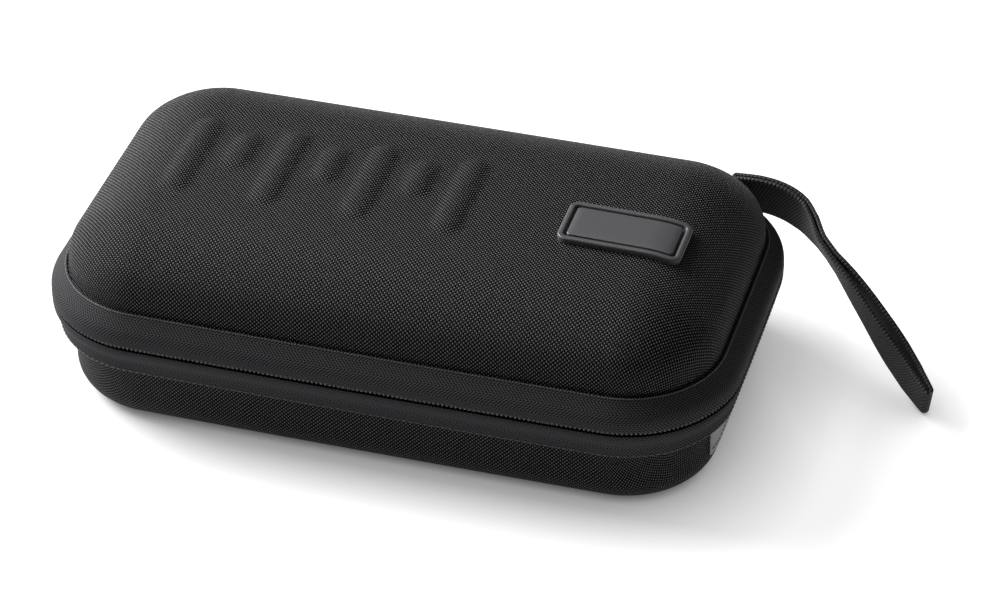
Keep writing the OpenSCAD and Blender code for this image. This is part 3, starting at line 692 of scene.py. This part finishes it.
# Twisted thread with a waxy light
thread_grey, tree, shader = new_material("grey bonded thread", Roughness=0.5, Sheen_Weight=0.2)
twist = add_node(tree, "TexNoise", {"Vector": add_node(tree, "TexCoord").outputs["Object"], "Scale": 1600.0})
tone = add_node(tree, "Mix", {"Factor": twist.outputs["Fac"], "A": linear("#2a2a2c"), "B": linear("#4c4c4e")},
                data_type="RGBA")
tree.links.new(tone.outputs["Result"], shader.inputs["Base Color"])
bump = add_node(tree, "Bump", {"Height": twist.outputs["Fac"], "Strength": 0.4, "Distance": 0.1 * MM})
tree.links.new(bump.outputs[0], shader.inputs["Normal"])


def stitch_row(name, places, length, width, height):
    """Copies of one stitch: places are (middle, way along the stitch, way out of the cloth), in mm."""
    bpy.ops.object.select_all(action="DESELECT")
    bpy.ops.mesh.primitive_uv_sphere_add(segments=6, ring_count=4, radius=0.5)
    stitch = bpy.context.object
    stitch.data.transform(Matrix.Diagonal((width, height, length, 1)))
    copies = []
    for middle, way, out in places:
        way, out = Vector(way).normalized(), Vector(out).normalized()
        side = out.cross(way).normalized()
        turned = Matrix((side, way.cross(side), way)).transposed().to_4x4()
        copy = bpy.data.objects.new(name, stitch.data.copy())
        copy.data.transform(Matrix.Translation(Vector(middle)) @ turned)
        copy.data.transform(Matrix.Scale(MM, 4))
        bpy.context.scene.collection.objects.link(copy)
        copies.append(copy)
    bpy.data.objects.remove(stitch)
    return join_all(copies, name)


def belt_places(start, length, pitch, n, z, lean=0.0, rise=0.0):
    """Places of stitches round the belt: lean turns them from lying along it, rise tips their backs up."""
    count = round(length / pitch)
    for i in range(count):
        (px, py), out = belt_at(start + length * (i + 0.5) / count)
        x, y = bowed(px - out[0] * n, py - out[1] * n)
        along, outward = Vector((-out[1], out[0], 0)), Vector((out[0], out[1], 0))
        face = outward * math.cos(rise) + Vector((0, 0, math.sin(rise)))
        up = face.cross(along) * -1
        yield (x, y, z), along * math.cos(lean) + up * math.sin(lean), face


for name, body, slot, places, length, width, height in (
        ("upper_tape_overlock", "lid", "zip_tape",
         belt_places(0, RING_L, 1.15, 5.3, 47.05, 0, math.radians(45)), 0.95, 0.42, 0.42),
        ("upper_tape_selvedge", "lid", "zip_tape",
         belt_places(0, ZIP_L, 1.55, 0.05, 36.85, math.radians(90)), 0.95, 0.55, 0.4),
        ("lower_tape_stitches", "base", "zip_tape", belt_places(0, RING_L, 2.3, 2.15, 25.7), 1.55, 0.42, 0.42),
        ("end_strip_stitches", "base", "grey_rubber",
         belt_places(STRIP_START + 1, STRIP_LENGTH - 2, 2.3, 6.15, 12.4), 1.6, 0.4, 0.36)):
    row = stitch_row(name, list(places), length, width, height)
    finish_piece(row, thread_grey, slot)
    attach(row, body)

# ------------------------------------------------------------------ badge
# A bare badge moulded in grey rubber and glued to the right half of the lid, whose crown it follows.
# A rounded rim stands round a groove with a line of stitches, and the panel inside is plain.

BADGE_X, BADGE_Y, BADGE_L, BADGE_W = 74.0, -5.5, 42.0, 22.0


def lid_surface(x, y):
    """Point of the lid's cover over a place on its plan, and the way out of it."""
    line = lid_line(0)

    def height(px, py):
        gone = bowed(px, py)
        px, py = 2 * px - gone[0], 2 * py - gone[1]
        over, beyond = abs(px) - REACH_X, abs(py) - REACH_Y
        n = CORNER_R - math.hypot(max(over, 0), max(beyond, 0)) - min(max(over, beyond), 0)
        return float(np.interp(n, [p[0] for p in line], [p[1] for p in line])) + crown(px, py)

    slope_x = (height(x + 1, y) - height(x - 1, y)) / 2
    slope_y = (height(x, y + 1) - height(x, y - 1)) / 2
    return Vector((x, y, height(x, y))), Vector((-slope_x, -slope_y, 1)).normalized()


def badge_outline(inset):
    """The badge's outline, moved in by inset, as a closed list of places on the lid's plan."""
    half_l, half_w = BADGE_L / 2 - inset, BADGE_W / 2 - inset
    r = min(max(3.5 - inset, 1.2), half_w)
    corners = []
    for sx, sy, first in ((1, 1, 0), (-1, 1, 90), (-1, -1, 180), (1, -1, 270)):
        turns = [math.radians(first + 15 * i) for i in range(7)]
        corners.append([(BADGE_X + sx * (half_l - r) + r * math.cos(t),
                         BADGE_Y + sy * (half_w - r) + r * math.sin(t)) for t in turns])
    points = []
    for k, corner in enumerate(corners):
        points += corner
        a, b = corner[-1], corners[(k + 1) % 4][0]
        steps = 20 if k % 2 == 0 else 8
        points += [(a[0] + (b[0] - a[0]) * i / steps, a[1] + (b[1] - a[1]) * i / steps)
                   for i in range(1, steps)]
    return points + points[:1]


def badge_part(name, steps):
    """A skin over loops of the badge's outline, each at its inset and height above the lid's cover."""
    loops = [badge_outline(inset) for inset, _ in steps]
    around, rows = len(loops[0]) - 1, len(steps) - 1
    bpy.ops.object.select_all(action="DESELECT")
    bpy.ops.mesh.primitive_grid_add(x_subdivisions=around, y_subdivisions=rows, size=2)
    obj = bpy.context.object
    obj.name = name
    for v in obj.data.vertices:
        i, j = round((v.co.x + 1) / 2 * around), round((v.co.y + 1) / 2 * rows)
        point, up = lid_surface(*loops[j][i])
        v.co = (point + up * steps[j][1]) * MM
    select_only(obj)
    bpy.ops.object.mode_set(mode="EDIT")
    bpy.ops.mesh.select_all(action="SELECT")
    bpy.ops.mesh.remove_doubles(threshold=0.02 * MM)
    bpy.ops.mesh.normals_make_consistent(inside=False)
    bpy.ops.object.mode_set(mode="OBJECT")
    return obj


# Moulded rubber, satin, with a fine grain
badge_rubber, tree, shader = new_material("grey moulded badge rubber", Roughness=0.45, Specular_IOR_Level=0.45)
grain = add_node(tree, "TexNoise", {"Vector": add_node(tree, "TexCoord").outputs["Object"], "Scale": 2600.0,
                                    "Detail": 3.0})
tone = add_node(tree, "Mix", {"Factor": grain.outputs["Fac"], "A": linear("#3c3c3e"), "B": linear("#48484a")},
                data_type="RGBA")
tree.links.new(tone.outputs["Result"], shader.inputs["Base Color"])
bump = add_node(tree, "Bump", {"Height": grain.outputs["Fac"], "Strength": 0.25, "Distance": 0.06 * MM})
tree.links.new(bump.outputs[0], shader.inputs["Normal"])

badge_frame = badge_part("badge_frame_rim", [
    (0, -0.5), (0, 1.6), (0.1, 1.95), (0.4, 2.2), (1.5, 2.2), (1.9, 2.05), (2.1, 1.7), (2.15, 0.6),
    (3.6, 0.6), (3.6, -0.5), (0, -0.5)])
finish_piece(badge_frame, badge_rubber, "badge_rubber", "badge_frame")
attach(badge_frame, "lid")
badge_panel = badge_part("badge_panel_plate", [
    (11, 0.5), (3.0, 0.5), (3.0, 1.7), (3.1, 1.9), (3.35, 2.0), (5.5, 2.05), (8, 2.05), (11, 2.05)])
finish_piece(badge_panel, badge_rubber, "badge_panel", "badge_panel")
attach(badge_panel, "lid")

groove = badge_outline(2.58)
lengths = np.concatenate([[0], np.cumsum([math.dist(a, b) for a, b in zip(groove, groove[1:])])])
places = []
for s in np.arange(0.8, lengths[-1], lengths[-1] / 74):
    here = [float(np.interp(s + d, lengths, [p[k] for p in groove])) for d in (-0.3, 0.3) for k in (0, 1)]
    point, up = lid_surface((here[0] + here[2]) / 2, (here[1] + here[3]) / 2)
    places.append((point + up * 0.75, (here[2] - here[0], here[3] - here[1], 0), up))
badge_stitches = stitch_row("badge_stitches", places, 1.1, 0.4, 0.4)
finish_piece(badge_stitches, thread_grey, "badge_rubber")
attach(badge_stitches, "lid")

# ------------------------------------------------------------------ wrist strap
# Black nylon webbing, 14 mm wide and 1.5 mm thick, folded into a loop whose two ends are sewn to the
# lid at the back right corner. It stays on edge, leans as it droops, and its fold rests on the floor.

route = [Vector(p) for p in (
    (95.7, 67.7, 42.7), (105.2, 67.0, 43.8), (113.3, 65.8, 43.0), (120.2, 63.2, 41.1), (126.0, 58.4, 38.8),
    (131.3, 52.2, 36.5), (136.7, 46.5, 34.4), (142.8, 41.2, 31.5), (149.6, 36.0, 26.8), (156.4, 30.9, 21.3),
    (162.9, 26.1, 15.8), (169.3, 20.8, 11.0), (175.7, 14.7, 7.5))]
lean = [0, 4, 4, 6, 15, 25, 25, 20, 17, 13, 8, 6, 10]
gaps = [1.05, 0.95, 0.95, 0.95, 1.08, 1.04, 1.11, 1.44, 1.87, 2.12, 2.01, 1.62, 1.05]
LAST = len(route) - 1
# pitch of the beads at the edges, and how far off the inner face is set in the cloth's own measure
BEAD_PITCH, INNER_FACE = 1.3, 20.0


def route_at(t):
    """Middle of the folded webbing, on a smooth curve through the points of its route."""
    i = min(int(t), LAST - 1)
    a, b, c, d = (route[max(0, min(LAST, k))] for k in (i - 1, i, i + 1, i + 2))
    u = t - i
    return 0.5 * (2 * b + (c - a) * u + (2 * a - 5 * b + 4 * c - d) * u * u + (3 * b - a - 3 * c + d) * u ** 3)


def webbing_frame(t, a):
    """Middle of a layer, the way out of it and the way across it; a turns from one layer to the other."""
    along = (route_at(min(t + 0.1, LAST)) - route_at(max(t - 0.1, 0))).normalized()
    if t <= 0:
        along = Vector((along.x, along.y, 0)).normalized()
    flat = Vector((along.y, -along.x, 0)).normalized()
    rise = flat.cross(along)
    tip = math.radians(float(np.interp(t, range(LAST + 1), lean)))
    wide = rise * math.cos(tip) + flat * math.sin(tip)
    thick = flat * math.cos(tip) - rise * math.sin(tip)
    out = thick * math.cos(a) + along * math.sin(a)
    gap = float(np.interp(t, range(LAST + 1), gaps))
    return route_at(t) + out * gap, out, wide


STATIONS = 320
TURNS = 10
path = ([(LAST * i / STATIONS, 0) for i in range(STATIONS + 1)]
        + [(LAST, math.pi * i / TURNS) for i in range(1, TURNS)]
        + [(LAST * i / STATIONS, math.pi) for i in range(STATIONS, -1, -1)]
        + [(0, math.pi * (1 + i / TURNS)) for i in range(1, TURNS)] + [(0, 0)])
# half of the webbing's section, from one edge over its outer face to the other
face = [(-7, 0.3), (-6.85, 0.6), (-6.5, 0.75), (-5.8, 0.7), (-4, 0.75), (-2, 0.75), (0, 0.75), (2, 0.75),
        (4, 0.75), (5.8, 0.7), (6.5, 0.75), (6.85, 0.6), (7, 0.3)]
section = face + [(u, -v) for u, v in reversed(face)]
section.append(section[0])
frames = [webbing_frame(t, a) for t, a in path]
gone = np.concatenate([[0], np.cumsum([(p[0] - q[0]).length for p, q in zip(frames[1:], frames)])])

bpy.ops.object.select_all(action="DESELECT")
bpy.ops.mesh.primitive_grid_add(x_subdivisions=len(path) - 1, y_subdivisions=len(section) - 1, size=2)
wrist_strap = bpy.context.object
wrist_strap.name = "wrist_strap_webbing"
threads = []
for v in wrist_strap.data.vertices:
    i, j = round((v.co.x + 1) / 2 * (len(path) - 1)), round((v.co.y + 1) / 2 * (len(section) - 1))
    middle, out, wide = frames[i]
    u, w = section[j]
    # the weft turns back at each edge in small beads
    bead = 0.13 * math.sin(math.tau * gone[i] / BEAD_PITCH) if abs(u) > 6.7 and 0 < i < len(path) - 1 else 0
    threads.append((gone[i], u + (INNER_FACE if w < 0 else 0)))
    v.co = (middle + out * w + wide * (u + math.copysign(bead, u))) * MM
set_threads(wrist_strap, threads)
select_only(wrist_strap)
bpy.ops.object.mode_set(mode="EDIT")
bpy.ops.mesh.select_all(action="SELECT")
bpy.ops.mesh.remove_doubles(threshold=0.005 * MM)
bpy.ops.mesh.normals_make_consistent(inside=False)
bpy.ops.object.mode_set(mode="OBJECT")

# Nylon webbing: near-black, with rows of small floats on its faces and beads at its edges. Its colour holds
# painted light: a painted sheen on the floats, painted shade between them and painted highlights on the beads.
webbing, tree, shader = new_material("ribbed nylon webbing", Roughness=0.6, Specular_IOR_Level=0.15)
mm = threads_mm(tree)[1]
slant = add_node(tree, "Math", {0: mm[1], 1: 0.55, 2: mm[0]}, operation="MULTIPLY_ADD")
rows = add_node(tree, "Math", {0: ripple(tree, slant.outputs[0], 1.15), 1: ripple(tree, mm[1], 1.1)},
                operation="MULTIPLY")
floats = add_node(tree, "MapRange", {"Value": rows.outputs[0], "From Min": -0.2, "From Max": 0.9})
inner = add_node(tree, "Math", {0: mm[1], 1: -INNER_FACE}, operation="ADD")
outer_face = add_node(tree, "Math", {0: mm[1], 1: INNER_FACE / 2}, operation="LESS_THAN")
across = add_node(tree, "Mix", {"Factor": outer_face.outputs[0], "A": inner.outputs[0], "B": mm[1]},
                  data_type="FLOAT")
from_edge = add_node(tree, "Math", {0: across.outputs["Result"]}, operation="ABSOLUTE")
edge = add_node(tree, "MapRange", {"Value": from_edge.outputs[0], "From Min": 5.9, "From Max": 6.5})
beads = add_node(tree, "MapRange", {"Value": ripple(tree, mm[0], BEAD_PITCH), "From Min": -0.6, "From Max": 1.0})
# painted sheen on the floats and painted shade between them
painted_float_shading = add_node(tree, "Mix", {"Factor": floats.outputs[0], "A": linear("#020202"), "B": linear("#3a3a3b")},
                     data_type="RGBA")
# painted highlights on the edge beads
painted_bead_highlight = add_node(tree, "Mix", {"Factor": beads.outputs[0], "A": linear("#080808"), "B": linear("#4a4a4c")},
                     data_type="RGBA")
tone = add_node(tree, "Mix", {"Factor": edge.outputs[0], "A": painted_float_shading.outputs["Result"],
                              "B": painted_bead_highlight.outputs["Result"]}, data_type="RGBA")
tree.links.new(tone.outputs["Result"], shader.inputs["Base Color"])
bump = add_node(tree, "Bump", {"Height": floats.outputs[0], "Strength": 0.6, "Distance": 0.2 * MM})
tree.links.new(bump.outputs[0], shader.inputs["Normal"])
finish_piece(wrist_strap, webbing, "webbing", "wrist_strap")
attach(wrist_strap, "strap")

# ------------------------------------------------------------------ foam inside
# Die-cut polyethylene foam: a floor sheet, two blocks with the microphone's bed and the pockets, and
# a pad in the lid. Cut foam has no crisp edges, so each block is remeshed and its edges relaxed.

# Fine closed cells, about 0.6 mm across, cut open at the surface
cut_foam, tree, shader = new_material("die-cut black foam", Roughness=0.95, Specular_IOR_Level=0.2,
                                      Sheen_Weight=0.1)
spot = add_node(tree, "TexCoord").outputs["Object"]
cells = add_node(tree, "TexVoronoi", {"Vector": spot, "Scale": 1600.0})
cloud = add_node(tree, "TexNoise", {"Vector": spot, "Scale": 60.0, "Detail": 3.0})
mixed = add_node(tree, "Math", {0: cells.outputs["Distance"], 1: cloud.outputs["Fac"]}, operation="MULTIPLY")
tone = add_node(tree, "Mix", {"Factor": mixed.outputs[0], "A": linear("#1a1a1c"), "B": linear("#4a4a4d")},
                data_type="RGBA")
tree.links.new(tone.outputs["Result"], shader.inputs["Base Color"])
bump = add_node(tree, "Bump", {"Height": cells.outputs["Distance"], "Strength": 0.6, "Distance": 0.3 * MM})
tree.links.new(bump.outputs[0], shader.inputs["Normal"])

for name, node, body, voxel in (("insert_front_foam", "insert_front", "base", 1.0),
                                ("insert_back_foam", "insert_back", "base", 1.0),
                                ("insert_floor_foam", "insert_floor", "base", 1.4),
                                ("lid_pad_foam", "lid_foam_pad", "lid", 1.2)):
    foam = copied_node(name, node)
    apply_modifier(foam, "REMESH", mode="VOXEL", voxel_size=voxel * MM)
    apply_modifier(foam, "SMOOTH", factor=0.5, iterations=6)
    if node == "lid_foam_pad":
        # the pad's free face swells a little between its edges
        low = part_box(node)[0].z
        for v in foam.data.vertices:
            x, y = v.co.x / MM, v.co.y / MM
            if v.co.z < low + 3 * MM:
                v.co.z -= 1.1 * MM * max(0, 1 - (x / 96) ** 2) * max(0, 1 - (y / 44) ** 2)
    finish_piece(foam, cut_foam, "insert_foam", node)
    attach(foam, body)
